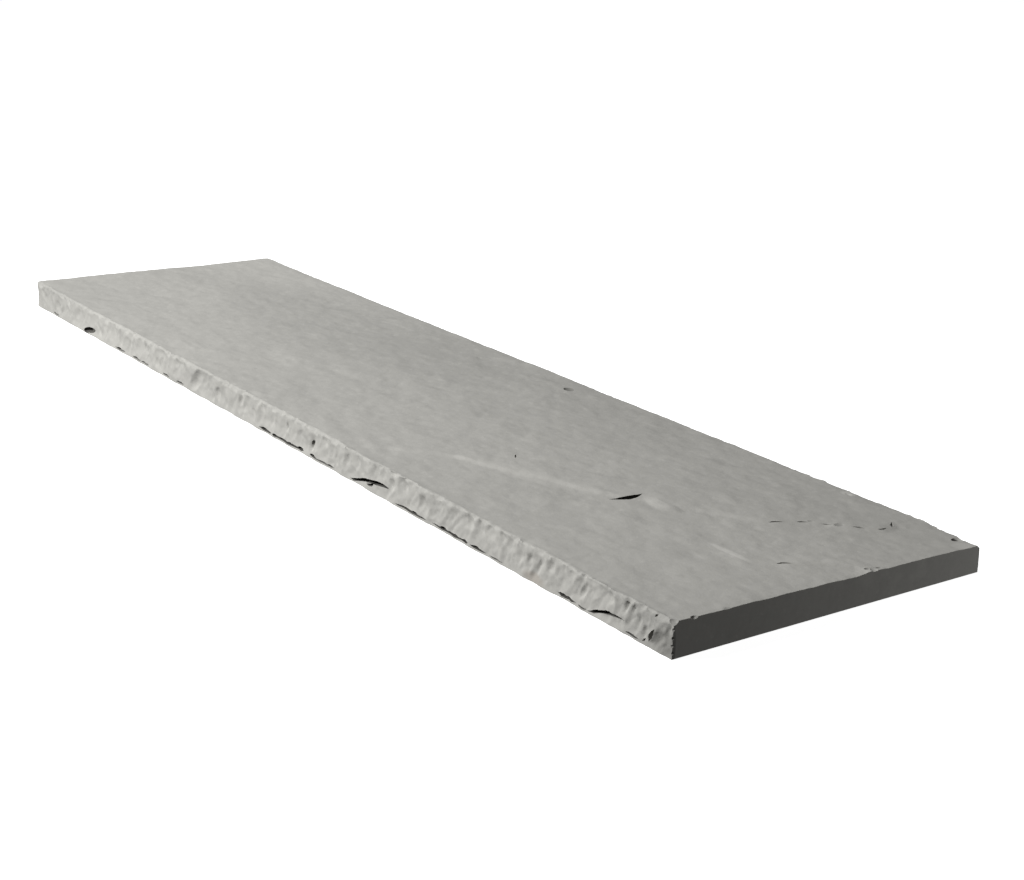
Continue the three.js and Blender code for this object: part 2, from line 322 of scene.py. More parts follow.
# %% Dents in the front edge
# The place of each dent as [x, z], its two half-sizes, how deep it goes and its lean.
FRONT_DENTS = [
    (-480, 14, 10, 4, 0.3, 30), (-444, 10, 7, 4, 0.25, 40), (-417, 20, 7, 2.5, 0.3, 55),
    (-396, 12, 5, 5, 0.25, 45), (-345, 11, 8, 3, 0.25, 50), (-308, 18, 9, 3, 0.35, 70),
    (-293, 14, 4, 8, 0.35, 5), (-240, 16, 8, 5, 0.25, 30), (-213, 9, 7, 4, 0.25, 40),
    (-172, 17, 8, 4, 0.3, 40), (-132, 14, 6.5, 13, 0.85, 52), (-113, 19, 6, 3, 0.35, 40),
    (-104, 8, 6, 2.5, 0.3, 60), (-93, 12, 4, 4, 0.35, 40), (-80, 7, 5, 2, 0.25, 60),
    (-50, 17, 3.5, 6, 0.3, 45), (-30, 12, 6, 4, 0.25, 45), (-14, 20, 7, 2.2, 0.4, 60),
    (29, 14.5, 1.8, 4, 0.45, 8), (50, 15, 6, 5, 0.25, 30), (69, 11, 2, 4.5, 0.9, 20),
    (88, 18.4, 6, 2.8, 0.55, 50), (105, 10, 4, 5, 0.3, 20), (122, 15, 5, 5, 0.55, 45),
    (136, 18, 7, 3, 0.35, 55), (165, 17, 8, 3, 0.25, 60), (185, 14, 5, 4, 0.3, 40),
    (203, 18, 6, 3, 0.65, 50), (228, 12, 7, 5, 0.25, 35), (249, 17, 5, 4, 0.3, 30),
    (262, 14, 6, 7, 0.1, 25), (287, 17.4, 6, 4, 0.4, 50), (299, 20, 4, 2, 0.15, 50),
    (309, 9, 7, 5, 0.3, 40), (326, 19.4, 4, 2.6, 0.2, 40), (345, 13, 4, 5, 0.3, 35),
    (357, 15, 3, 4, 0.35, 35), (366, 12, 2.5, 6, 0.5, 30), (380, 17, 5, 4, 0.4, 45),
    (393, 19.4, 4, 2.6, 0.15, 30), (415, 14, 2.6, 7, 0.6, 35), (425, 15, 6, 5, 0.3, 45),
    (440, 17.8, 5, 3.5, 0.65, 45), (456, 17, 2.2, 5, 0.6, 25), (463, 18, 1.8, 4, 0.45, 25),
    (468, 13, 2.5, 5, 0.45, 20), (474, 8, 2.5, 4, 0.45, 15), (488, 10, 4, 5, 0.1, 30),
    (496, 17, 3, 4, 0, 20)]
# The flakes have lowered the face by about 1.3 mm, so a dent starts from there. The remesh will
# blunt it, so its half-sizes and its depth are stretched.
LOWERED = 1.3
STRETCH_X, STRETCH_Z, STRETCH_BITE = 1.1, 1.3, 1.7
for x, z, half_x, half_z, bite, lean in FRONT_DENTS:
    combine(stone, flake(
        "front dent", (x * MM, z * MM), (STRETCH_X * half_x * MM, STRETCH_Z * half_z * MM),
        (STRETCH_BITE * bite + LOWERED) * MM, math.radians(lean), ball_depth=5 * MM))
tell(f"{len(FRONT_DENTS)} dents")

# %% [markdown]
# The back edge was pitched in the same way, but nothing tells one blow on it from the next. So its
# flakes come from a random draw. The draw has a seed, which makes it the same on every run.

# %% Flakes of the back edge
BACK_FLAKE_HALF_HEIGHT = 13 * MM
DEEPEST_BITE = 1.3 * MM  # a wider flake goes deeper, but no deeper than this
chance = random.Random(29)
x = LEFT - SAW_WASTE
while x < RIGHT + SAW_WASTE:
    gap = chance.uniform(20, 48) * MM
    bite = min(0.04 * gap, DEEPEST_BITE) * chance.uniform(0.8, 1.2)
    lean = -math.radians(chance.uniform(5, 50))
    height = chance.uniform(6, 10) * MM
    half_sizes = (gap / 2 * OVERLAP * math.cos(lean), BACK_FLAKE_HALF_HEIGHT)
    combine(stone, flake("back flake", (x + gap / 2, height), half_sizes, bite, lean, outward=1))
    x += gap
tell("back edge pitched")

# %% [markdown]
# ## Small chips
#
# A struck arris never stays whole: grains and splinters leave it, and where a bed ends at the foot
# of the edge a thin wedge drops out. Small balls sunk in the edge do this. Many of them are added
# to one mesh in edit mode, so that a single cut takes them all, and they must not touch each other.

# %% Many balls as one tool
def ball(x, y, z, half_x, half_y, half_z, lean=0.0):
    """A ball's middle, half-sizes and lean, from numbers in millimetres."""
    return (x * MM, y * MM, z * MM), (half_x * MM, half_y * MM, half_z * MM), lean


def balls(name, places):
    """One tool of many balls. Each place is a middle, three half-sizes and a lean, in metres."""
    tool = new_object(name, bpy.data.meshes.new(name))
    select_only(tool)
    bpy.ops.object.mode_set(mode="EDIT")
    for middle, half_sizes, lean in places:
        bpy.ops.mesh.primitive_ico_sphere_add(
            subdivisions=3, radius=1, location=middle, rotation=(0, lean, 0), scale=half_sizes)
    bpy.ops.object.mode_set(mode="OBJECT")
    return tool


# %% A row of chips
def row_of_chips(seed, y, z, length, sink, gaps, shape=(1.3, 1.0)):
    """Chips along a long arris: how long they are, how far they sink in, and the gaps between.

    Each of these is the least and the most of a random draw, in millimetres.

    The shape is how far a chip reaches along Y and along Z, for each unit that it sinks in.
    """
    chance = random.Random(seed)
    places = []
    # The row starts and ends a little inside the unsawn block.
    x = LEFT - SAW_WASTE + 5 * MM
    while x < RIGHT + SAW_WASTE - 8 * MM:
        half = chance.uniform(*length) / 2 * MM
        depth = chance.uniform(*sink) * MM
        half_sizes = (half, shape[0] * depth, shape[1] * depth)
        places.append(((x + half, y, z), half_sizes, chance.uniform(-0.3, 0.3)))
        x += 2 * half + chance.uniform(*gaps) * MM
    return places


front_arris = FRONT - PROUD + BATTER / 2
front_top = row_of_chips(
    71, front_arris, FRONT_THICKNESS, length=(4, 16), sink=(0.9, 1.9), gaps=(0.5, 5),
    shape=(0.9, 1.8))
back_foot = row_of_chips(73, BACK + PROUD, 0.0, length=(5, 40), sink=(0.8, 2.4), gaps=(10, 60))
combine(stone, balls("front arris chips", front_top))
combine(stone, balls("back foot chips", back_foot))
tell(f"{len(front_top) + len(back_foot)} small chips")

# %% [markdown]
# The top isn't only cut away. Here and there it stands a little higher than the rock around it, and
# a very flat ball joined to it makes such a swelling. The same ball, standing above the stone and
# taken away from it, wears a corner down.

# %% Swellings and worn corners of the top
def top_at(y):
    """Height of the unbroken top, which falls from front to back. Both are in millimetres."""
    return MIDDLE_HEIGHT / MM - y * math.tan(FALL)


def swelling(x, y, half_x, half_y, rise):
    """A very flat ball, in millimetres, that rises above the unbroken top."""
    half_z = 5
    return ball(x, y, top_at(y) + rise - half_z, half_x, half_y, half_z)


# The lip on the right of the gaping bed stands proud. So does a tongue of the next sheet, on the
# arris of the right-hand end.
combine(stone, balls("raised lips", [
    swelling(336, -4, 30, 13, 0.4), swelling(508, 31, 34, 26, -0.1)]), "UNION")
# The far back corner has worn down.
combine(stone, balls("worn corner", [
    ball(-500, 128, top_at(BACK / MM) + 9.6, 45, 40, 10)]))
tell(f"corners, {len(stone.data.polygons)} faces")

# %% [markdown]
# ## A fine even mesh
#
# All those cuts leave long thin faces, and a surface can only be roughened where it has vertices.
# A voxel remesh lays an even skin of small faces over the whole shape.

# %% Remesh
VOXEL = 1.0 * MM
apply_modifier(stone, "REMESH", mode="VOXEL", voxel_size=VOXEL)
tell(f"even mesh of {len(stone.data.polygons)} faces")

# %% [markdown]
# ## The relief of the rock
#
# A Displace modifier moves each vertex along its normal by the value of a texture. An empty carries
# the texture's place, turn and stretch, so the same noise can lie along the bedding on the riven
# top and lean with the hammer on the pitched edges. Vertex groups keep each relief to its own face,
# and fade it out at the arrises.

# %% Which vertices lie on which face
def ramp(values, start, end):
    """0 below the start, 1 above the end, and a smooth rise between."""
    t = np.clip((values - start) / (end - start), 0, 1)
    return t * t * (3 - 2 * t)


def places_and_normals(piece):
    count = len(piece.data.vertices)
    places = np.empty(count * 3, np.float32)
    normals = np.empty(count * 3, np.float32)
    piece.data.vertices.foreach_get("co", places)
    piece.data.vertex_normals.foreach_get("vector", normals)
    return places.reshape(-1, 3), normals.reshape(-1, 3)


def paint(piece, name, weights, steps=20):
    """Makes a vertex group from an array of weights, rounded to so many steps."""
    group = piece.vertex_groups.new(name=name)
    rounded = np.rint(weights * steps).astype(int)
    for step in range(1, steps + 1):
        group.add(np.flatnonzero(rounded == step).tolist(), step / steps, "REPLACE")
    return name


places, normals = places_and_normals(stone)
on_top = ramp(normals[:, 2], 0.75, 0.97)
riven = paint(stone, "riven", on_top)
broken = paint(stone, "broken", on_top * ramp(places[:, 0], 50 * MM, 300 * MM))
# The floor of the lost sheets is rougher than the rest, inside an oval.
from_patch = np.hypot((places[:, 0] / MM - 435) / 95, (places[:, 1] / MM - 40) / 75)
patch = paint(stone, "patch", on_top * (1 - ramp(from_patch, 0.7, 1.0)))
above_foot = 0.3 + 0.7 * ramp(places[:, 2], 0, 6 * MM)  # a straight foot stays on the saw line
on_edges = ramp(np.abs(normals[:, 1]), 0.3, 0.8) * above_foot
pitched = paint(stone, "pitched", on_edges)
splintered = paint(stone, "splintered", on_edges * ramp(places[:, 0], -100 * MM, 450 * MM))
shattered = paint(stone, "shattered", on_edges * ramp(places[:, 0], 425 * MM, 480 * MM))
facing_up = ramp(-normals[:, 1], 0.2, 0.45) * ramp(normals[:, 2], 0.2, 0.45)
arris = paint(stone, "arris", facing_up * ramp(places[:, 2], 18 * MM, 20 * MM))
upper_half = ramp(places[:, 2], 8 * MM, 16 * MM)
left_end = paint(stone, "left end", upper_half * ramp(-places[:, 0], 380 * MM, 480 * MM))
tell("vertex groups painted")


# %% Roughening a face
def roughen(piece, group, kind, strength, stretch, lean=0.0, middle=0.5, **settings):
    """Moves a group of vertices in and out by a texture whose pattern is stretched and leaned."""
    texture = bpy.data.textures.new(kind.lower(), kind)
    for name, value in {"noise_scale": 1.0, **settings}.items():
        setattr(texture, name, value)
    guide = new_object("guide", None)
    guide.scale = stretch
    guide.rotation_euler = (0, lean, 0)
    bpy.context.view_layer.update()
    apply_modifier(
        piece, "DISPLACE", texture=texture, texture_coords="OBJECT", texture_coords_object=guide,
        vertex_group=group, strength=strength, mid_level=middle)
    bpy.data.objects.remove(guide)


# On the top, from slow waves a hand long down to the finest ripples.
roughen(stone, riven, "CLOUDS", 1.1 * MM, (0.17, 0.08, 0.1), noise_depth=1)
roughen(stone, riven, "CLOUDS", 1.35 * MM, (0.04, 0.026, 0.03), noise_depth=2)
roughen(stone, riven, "CLOUDS", 0.7 * MM, (0.016, 0.012, 0.01), noise_depth=2)
roughen(stone, riven, "CLOUDS", 0.24 * MM, (0.0055, 0.0045, 0.004), noise_depth=1)
roughen(stone, broken, "CLOUDS", 0.17 * MM, (0.008, 0.006, 0.005), noise_depth=2)
roughen(stone, patch, "CLOUDS", 0.36 * MM, (0.01, 0.007, 0.007), noise_depth=2)
apply_modifier(
    stone, "DISPLACE", vertex_group=left_end, direction="Z", strength=0.35 * MM, mid_level=0)
tell("riven top roughened, and its left end lifted")

# On the edges, chisel marks and splinters that lean with the swing of the hammer.
SWING = math.radians(38)
roughen(
    stone, pitched, "DISTORTED_NOISE", 0.8 * MM, (0.013, 0.03, 0.018), SWING, middle=0.3,
    noise_basis="VORONOI_F1", noise_distortion="IMPROVED_PERLIN", distortion=0.8)
roughen(stone, pitched, "CLOUDS", 0.6 * MM, (0.005, 0.014, 0.012), SWING, noise_depth=2)
roughen(stone, splintered, "CLOUDS", 1.0 * MM, (0.0035, 0.012, 0.01), SWING, noise_depth=1)
roughen(stone, splintered, "VORONOI", 1.0 * MM, (0.007, 0.02, 0.018), SWING, middle=0.3)
roughen(stone, pitched, "CLOUDS", 0.35 * MM, (0.0028, 0.0028, 0.0028), noise_depth=1)
roughen(stone, arris, "CLOUDS", 1.1 * MM, (0.005, 0.004, 0.004), middle=0.62, noise_depth=2)
roughen(stone, shattered, "CLOUDS", 1.1 * MM, (0.0035, 0.005, 0.0045), SWING, noise_depth=2)
tell("pitched edges roughened")

# %% [markdown]
# ## Fewer faces where the rock is smooth
#
# The even mesh has far more faces than the shape needs. Decimate takes away the ones that add the
# least, so most of those that are left lie on the pitched edges and the broken rims.

# %% Decimate
KEPT_TRIANGLES = 178000
apply_modifier(stone, "DECIMATE", ratio=KEPT_TRIANGLES / (2 * len(stone.data.polygons)))
tell(f"thinned to {len(stone.data.polygons)} faces")

# %% [markdown]
# ## Cracks, pits and gouges
#
# Here and there the bedding gapes. A crack is widest in the middle of its line and closes to
# nothing at both ends, so its outline is worked out from that line. The outline is extruded into
# the stone and made smaller on the way, because a crack closes inwards too. These cuts come after
# the remesh, which would blunt their sharp lips.
#
# These places are darkened with painted shade, which stands in for the shadow inside them. Painting
# it there by hand or by position would smear over the lips, so the cut itself carries it: every face
# of the tool holds a number, in an attribute called recess_shade, and the walls that the tool leaves
# in the stone inherit it. The material reads it later.

# %% A crack
def crack(name, line, opening, into, fullness=0.7, far_scale=0.5):
    """A tool for a crack. The line and its opening are in metres, and 'into' points inwards.

    The lower the fullness, the blunter the ends.
    """
    points = [Vector(point) for point in line]
    normal = Vector(into).normalized()
    count = len(points) - 1
    upper, lower = [], []
    for number, point in enumerate(points[1:-1], start=1):
        along = (points[number + 1] - points[number - 1]).normalized()
        half = opening / 2 * math.sin(math.pi * number / count) ** fullness
        across = along.cross(normal).normalized() * half
        upper.append(point + across)
        lower.append(point - across)
    outline = [points[0], *upper, points[-1], *reversed(lower)]
    start = -normal * 2 * MM  # the tool stands this far out of the stone
    tool = draw(name, [point + start for point in outline])
    extrude(Vector(into) - start, far_scale)
    return finish_tool(tool)


def front_line(points):
    """Points of the front face, given as [x, z] in millimetres."""
    return [(x * MM, FRONT - PROUD, z * MM) for x, z in points]


def top_line(points):
    """Points of the top, given as [x, y] in millimetres."""
    return [(x * MM, y * MM, (top_at(y) - 0.5) * MM) for x, y in points]


def paint_recess_shade(tool, recess_shade):
    """Marks a tool's faces with how much painted shade its cut gets; the walls of its cut keep the
    mark.
    """
    mark = tool.data.attributes.new("recess_shade", "FLOAT", "FACE")
    mark.data.foreach_set("value", [recess_shade] * len(tool.data.polygons))
    return tool


# %% [markdown]
# Two long cracks run up into the front edge from its foot, where a bed has begun to lift. Near the
# corner that took the hardest knocks there are short steep gouges as well.

# %% The cracks of the front edge
# Each is a line, with its opening and its depth in millimetres. The two long ones vary in width,
# so shorter and wider ones are cut across them.
FRONT_CRACKS = [
    ([(121, 0.9), (127, 1.6), (133, 2.8), (139, 4.6), (146, 6.4), (155, 7.8), (165, 8.8),
      (175, 9.6), (187, 9.7)], 2.9, 8),
    ([(126, 1.4), (130, 1.7), (135, 2.8), (140, 4.4)], 2.6, 6),
    ([(147, 6.6), (156, 7.9), (165, 8.9), (174, 9.6), (185, 9.9)], 3.5, 6),
    ([(162, 8.9), (160.5, 6.8), (158, 5.2), (154, 4.3), (149, 4.0)], 2.6, 4),
    ([(416, 1.1), (422, 2.3), (427, 4.3), (433, 6.2), (441, 7.6), (449, 8.3), (458, 8.3)], 2.2, 7),
    ([(420, 1.6), (424, 2.8), (428, 4.4), (432, 5.9)], 3.0, 5),
    ([(431, 5.5), (435.5, 6.8), (440, 7.5), (445, 8.0)], 2.9, 5)]
for line, opening, depth in FRONT_CRACKS:
    combine(stone, paint_recess_shade(crack(
        "front crack", front_line(line), opening * MM, (0, depth * MM, -depth / 8 * MM),
        fullness=0.5), recess_shade=0.85))
# The knocks near the corner left gouges instead, which are shallow and close to an edge inside.
CORNER_GOUGES = [
    ([(477, 0.6), (478.5, 4), (480.5, 7.5), (482.5, 11.5), (485, 16)], 4.2, 2.1),
    ([(472, 1.0), (474.5, 2.5), (476.5, 5.5)], 3.2, 2.1),
    ([(481.5, 19.3), (484, 21.6), (486.5, 24)], 3.2, 2.2)]
for line, opening, depth in CORNER_GOUGES:
    combine(stone, paint_recess_shade(crack(
        "corner gouge", front_line(line), opening * MM, (0, depth * MM, 0), fullness=0.5,
        far_scale=0.3), recess_shade=0.3))
tell("front cracks")

# %% [markdown]
# Along its foot the front edge ends on a bedding plane, and that plane has opened in a broken dark
# line, with a thin ledge below it. The line isn't one crack but many low ones end to end. They are
# joined into two tools, because two cuts are much quicker than thirty.

# %% Beds that gape at the foot of the front edge
# Each is a place along the stone and a length, with how high the gap is and how much painted shade
# it gets. Long thin gaps come first, and short higher ones are cut across them.
THIN_GAPS = [
    (-451, 18, 1.7, 0.45), (-295, 24, 1.9, 0.6), (-258.5, 21, 1.9, 0.55), (-240, 18, 1.7, 0.5),
    (-195, 16, 1.7, 0.55), (-167, 15, 1.7, 0.6), (-8, 22, 2.1, 0.85), (28, 48, 2.0, 0.9),
    (85, 36, 1.4, 0.6), (212, 44, 1.7, 0.85), (261, 46, 1.6, 0.9), (297, 20, 1.5, 0.9),
    (318, 18, 1.1, 0.6), (396, 21, 2.0, 0.9), (413, 10, 1.2, 0.7), (463, 14, 1.4, 0.8)]
HIGH_GAPS = [
    (-296, 11, 2.5, 0.7), (-11, 12, 2.7, 0.9), (8, 9, 2.4, 0.9), (33, 8, 2.4, 0.9),
    (49, 11, 2.7, 0.9), (70, 12, 2.5, 0.9), (96, 9, 1.6, 0.6), (217, 12, 2.2, 0.9),
    (253, 9, 2.3, 0.9), (268, 13, 2.1, 0.9), (281, 9, 2.0, 0.9), (295, 12, 2.1, 0.9),
    (392, 9, 2.5, 0.9)]
GAP_DEPTH = 6  # in millimetres, as the next one is
LEDGE = 1.2  # what is left of the stone below a gap, in millimetres


def foot_gaps(rows, seed):
    """One tool of many gaps, each a crack whose line wanders a little."""
    chance = random.Random(seed)
    gaps = []
    for x, length, height, recess_shade in rows:
        middle = LEDGE + height / 2
        steps = max(5, round(length / 5))
        line = [
            (x + length * (step / steps - 0.5), middle + chance.uniform(-0.25, 0.3))
            for step in range(steps + 1)]
        gaps.append(paint_recess_shade(crack(
            "foot gap", front_line(line), height * MM, (0, GAP_DEPTH * MM, -0.3 * MM),
            fullness=0.5, far_scale=0.9), recess_shade))
    select_only(gaps[0])
    for gap in gaps:
        gap.select_set(True)
    bpy.ops.object.join()
    return gaps[0]


combine(stone, foot_gaps(THIN_GAPS, 17))
combine(stone, foot_gaps(HIGH_GAPS, 19))
tell(f"{len(THIN_GAPS) + len(HIGH_GAPS)} gaps at the foot")

# %% [markdown]
# In the top there is one deep opening, where the outer sheet tore off and left its bed gaping. The
# steep part of the same rim came away in crumbs, which left shallow gouges. Both are cracks again,
# sunk from above: the first is deep and dark, and the others barely break the surface.

# %% The gaping bed of the top, and the small gouges along the steep part of the rim
combine(stone, paint_recess_shade(crack(
    "gaping bed",
    top_line([(309, -31), (310.5, -26.5), (312.5, -21.5), (314, -16), (314.6, -10.5), (314.2, -6),
              (313, -2)]),
    5.8 * MM, (-2 * MM, 0.5 * MM, -6 * MM), fullness=1.5), recess_shade=0.95))
# Each gouge is a line with its width and its depth, in millimetres.
RIM_GOUGES = [
    ([(398, 31), (400, 36), (403, 41), (406, 46)], 2.4, 0.5),
    ([(407, 49), (410, 54), (414, 60)], 3.2, 0.6), ([(417, 62), (422, 65.5), (426, 69)], 2.6, 0.9),
    ([(433, 75), (438, 80), (443, 84)], 3.0, 0.8), ([(445, 86), (448, 91), (447, 97)], 3.6, 0.7),
    ([(449, 98), (445, 102), (440, 107)], 3.8, 0.9),
    ([(457, -15), (460, -10), (463.5, -4.5), (467, 0)], 4.8, 0.8),
    ([(195, -27), (198.5, -30), (202, -32.5), (205, -35)], 2.6, 0.6)]
for line, opening, depth in RIM_GOUGES:
    combine(stone, paint_recess_shade(crack(
        "rim gouge", top_line(line), opening * MM, (-0.2 * MM, 0, -depth * MM), far_scale=0.5),
        recess_shade=0.28))
tell("top cracks")

# %% [markdown]
# A pit is where a pebble or a soft spot fell out of the rock. Balls sunk in the surface make them,
# and the hollow at the foot of the front edge is two such balls that meet.

# %% Pits, and the hollow at the foot of the front edge
def pit(x, y, half_x, half_y, depth):
    """A shallow hollow in the top, in millimetres. Its ball is wider, and stands half clear."""
    return ball(x, y, top_at(y) + depth, 1.15 * half_x, 1.15 * half_y, 2 * depth)


# One dent of the front edge is deep, and its floor gets painted shade like the pits.
dent_floor = ball(69, FRONT / MM - 1, 12, 2, 2.2, 3.4, lean=0.4)
combine(stone, paint_recess_shade(balls("pits", [pit(76, 106, 5, 3.5, 0.9), dent_floor]), recess_shade=0.55))
combine(stone, paint_recess_shade(balls("pit by the back corner", [pit(484.5, 120, 3.6, 4.4, 3.2)]), recess_shade=0.9))
HOLLOW = [
    ball(-365, FRONT / MM - 1.5, 4.8, 10.5, 2.9, 2.7, lean=-0.12),
    ball(-371.5, FRONT / MM - 1.2, 3.3, 8.5, 3.6, 2.7, lean=-0.2)]
for lobe in HOLLOW:
    combine(stone, paint_recess_shade(balls("hollow", [lobe]), recess_shade=0.9))
combine(stone, paint_recess_shade(balls("crumbs by the right arris", [
    pit(495, 30.5, 2.4, 2.4, 1.3), pit(496.5, 39, 2.6, 2.4, 1.5)]), recess_shade=0.45))
combine(stone, paint_recess_shade(balls("pits on the rim", [
    pit(413, 58.5, 3, 3.4, 0.45), pit(428, 70, 3.4, 3.4, 0.45)]), recess_shade=0.28))
combine(stone, balls("shallow pits", [
    pit(-44, 98, 4, 3, 0.4), pit(386, 120, 3, 2, 0.4), pit(495, 15, 3, 2.4, 0.5),
    pit(489, 21, 2.4, 2, 0.6), pit(493, 26, 3, 2.2, 0.7), pit(487, 34, 2.6, 2.4, 0.6),
    pit(488, 45, 2.6, 2.4, 0.6), pit(494, 52, 3, 2.2, 0.5)]))
tell(f"pits and hollow, {len(stone.data.polygons)} faces")

# %% [markdown]
# ## The saws
#
# The saw blades pass last. They could be three cuts, but one box does it: with its left end out of
# square, it keeps what the saws leave, which is two flat ends and the flat bed.

# %% Sawing the ends and the bed
OUT_OF_SQUARE = 4 * MM  # how far the left cut has run in by the time it reaches the back
REACH = 1.4  # the box is this much wider than the stone
bpy.ops.object.select_all(action="DESELECT")
bpy.ops.mesh.primitive_cube_add(
    size=1, location=(0, 0, FRONT_THICKNESS), scale=(LENGTH, REACH * WIDTH, 2 * FRONT_THICKNESS))
saws = start_shaping("saws")
select_where(saws, lambda p: p.x < 0 and p.y > 0)
bpy.ops.transform.translate(value=(OUT_OF_SQUARE * (REACH + 1) / 2, 0, 0))
select_where(saws, lambda p: p.x < 0 and p.y < 0)
bpy.ops.transform.translate(value=(OUT_OF_SQUARE * (1 - REACH) / 2, 0, 0))
bpy.ops.object.mode_set(mode="OBJECT")
combine(stone, saws, "INTERSECT")
tell(f"sawn, {len(stone.data.polygons)} faces")

# %% [markdown]
# A fresh saw cut leaves sharp brittle arrises, and the first knocks take nicks out of them. These
# are small balls again. They are cut in four rounds, since the balls of one tool mustn't touch and
# some of the nicks overlap.

# %% Nicks in the sawn arrises
nicks = [
    ball(502, 24, 21.9, 6, 3, 1.4), ball(502, 33, 21.8, 7, 3.5, 1.6),
    ball(502, 42, 21.6, 5, 3, 1.4), ball(494, 131.5, 21, 22, 9, 6),
    ball(485, 122.5, 19.8, 4.5, 4, 2.4), ball(503, -127, 24, 8, 5, 3.5),
    ball(502, -111, 23.2, 4, 3.5, 1.8), ball(502, -85, 23.2, 4, 6, 1.1),
    ball(502, -20, 22.4, 3, 5, 0.9), ball(501, -127, 18.5, 2.2, 2.2, 1.3),
    ball(501, -127, 13.2, 1.8, 2, 1.5), ball(501, -127.5, 8.4, 2.4, 2.2, 1.2),
    ball(501, -127, 3.9, 1.8, 2, 1.4)]
ROUNDS = 4
for first in range(ROUNDS):
    combine(stone, balls("nicks", nicks[first::ROUNDS]))
select_only(stone)
bpy.ops.object.shade_smooth_by_angle(angle=math.radians(35))
tell(f"finished mesh of {len(stone.data.polygons)} faces")

# %% [markdown]
# ## Shader maths
#
# A material is a small program drawn as nodes, which gets hard to follow once it has more than ten
# of them. Written as Python, it reads like a sum. This class wraps one socket, so that an
# expression on two values adds the Math node that works it out.

# %% A value that can be used in an expression
class Value:
    """A number that varies over the surface: the output of some node."""

    def __init__(self, finish, socket):
        self.finish = finish
        self.socket = socket

    def math(self, operation, *others):
        return self.finish.node("ShaderNodeMath", {"operation": operation}, self, *others)

    def __add__(self, other):
        return self.math("ADD", other)

    def __sub__(self, other):
        return self.math("SUBTRACT", other)

    def __rsub__(self, other):
        return self.finish.node("ShaderNodeMath", {"operation": "SUBTRACT"}, other, self)

    def __mul__(self, other):
        return self.math("MULTIPLY", other)

    __radd__ = __add__
    __rmul__ = __mul__


# %% [markdown]
# A finish is one material. It has a single method that adds any node, given its type, its settings
# and what goes into its sockets, and a few short ones for the patterns that stone needs: noise,
# a grain that runs one way, masks with soft edges, and the mixing of two colours.

# %% A finish, and how nodes are added to it
class Finish:
    """A material, and the ways to add nodes to it."""

    def __init__(self, name):
        self.material = bpy.data.materials.new(name)
        self.material.use_nodes = True
        self.nodes = self.material.node_tree.nodes
        self.links = self.material.node_tree.links
        self.shader = self.nodes["Principled BSDF"]

    def node(self, kind, settings=None, *inputs, output=0, **named):
        """Adds a node: its settings first, then its sockets by order or by name."""
        node = self.nodes.new(kind)
        for name, value in (settings or {}).items():
            setattr(node, name, value)
        for key, value in [*enumerate(inputs), *named.items()]:
            self.plug(node.inputs[key], value)
        return Value(self, node.outputs[output])

    def plug(self, socket, value):
        """Links a value to a socket, or sets the socket to a plain number or colour."""
        if isinstance(value, Value):
            self.links.new(value.socket, socket)
        else:
            socket.default_value = value

    def give(self, name, value):
        """Sets or links a socket of the shader."""
        self.plug(self.shader.inputs[name], value)

    def axes(self, where):
        """The three parts of a place."""
        split = self.node("ShaderNodeSeparateXYZ", None, where).socket.node
        return [Value(self, output) for output in split.outputs]

    def noise(self, where, scale, detail=2.0, roughness=0.5):
        return self.node(
            "ShaderNodeTexNoise", None, Vector=where, Scale=scale, Detail=detail,
            Roughness=roughness)

    def stretched(self, where, scale, turn=(0, 0, 0)):
        """The place on the surface, stretched and turned, so that a pattern can have a grain."""
        return self.node("ShaderNodeMapping", None, Vector=where, Scale=scale, Rotation=turn)

    def between(self, value, low, high):
        """A mask: 0 where the value is under the low limit, 1 where it is over the high one."""
        return self.node(
            "ShaderNodeMapRange", {"interpolation_type": "SMOOTHSTEP"}, value, low, high, 0.0, 1.0)

    def patch(self, across, up, middle, reach):
        """A soft oval mask: 1 in its middle, and 0 from its rim outwards."""
        from_middle = (across - middle[0]) * (1 / reach[0])
        above_middle = (up - middle[1]) * (1 / reach[1])
        distance = from_middle * from_middle + above_middle * above_middle
        return 1 - self.between(distance, 0.0, 1.0)

    def mix(self, mask, first, second):
        """A colour that goes from the first to the second as the mask rises."""
        return self.node(
            "ShaderNodeMix", {"data_type": "RGBA"}, output=2, Factor=mask, A=first, B=second)


# %% [markdown]
# ## The sandstone
#
# A riven top, a pitched edge and a sawn end are the same rock, but they don't look the same: the
# saw leaves a finer surface, and the edges were struck after the top had weathered. So the material
# first finds out which face a point is on, from its place alone. Each mask is soft over about a
# millimetre, which is as sharp as a worn arris.

# %% Which face a point is on
sandstone = Finish("sandstone")
place = sandstone.node("ShaderNodeTexCoord", output=3)
x, y, z = sandstone.axes(place)
left_cut = y * (OUT_OF_SQUARE / WIDTH) + (LEFT + OUT_OF_SQUARE / 2)
on_front = 1 - sandstone.between(y, FRONT + 0.4 * MM, FRONT + 1.6 * MM)
on_back = sandstone.between(y, BACK - 1.6 * MM, BACK - 0.4 * MM)
on_right = sandstone.between(x, RIGHT - 0.5 * MM, RIGHT - 0.2 * MM)
on_left = 1 - sandstone.between(x - left_cut, 0.2 * MM, 0.5 * MM)
on_bed = 1 - sandstone.between(z, 0.1 * MM, 0.3 * MM)
sawn = on_right.math("MAXIMUM", on_left).math("MAXIMUM", on_bed)
pitched_face = on_front.math("MAXIMUM", on_back) * (1 - sawn)
tell(f"face masks from {len(sandstone.nodes)} nodes")
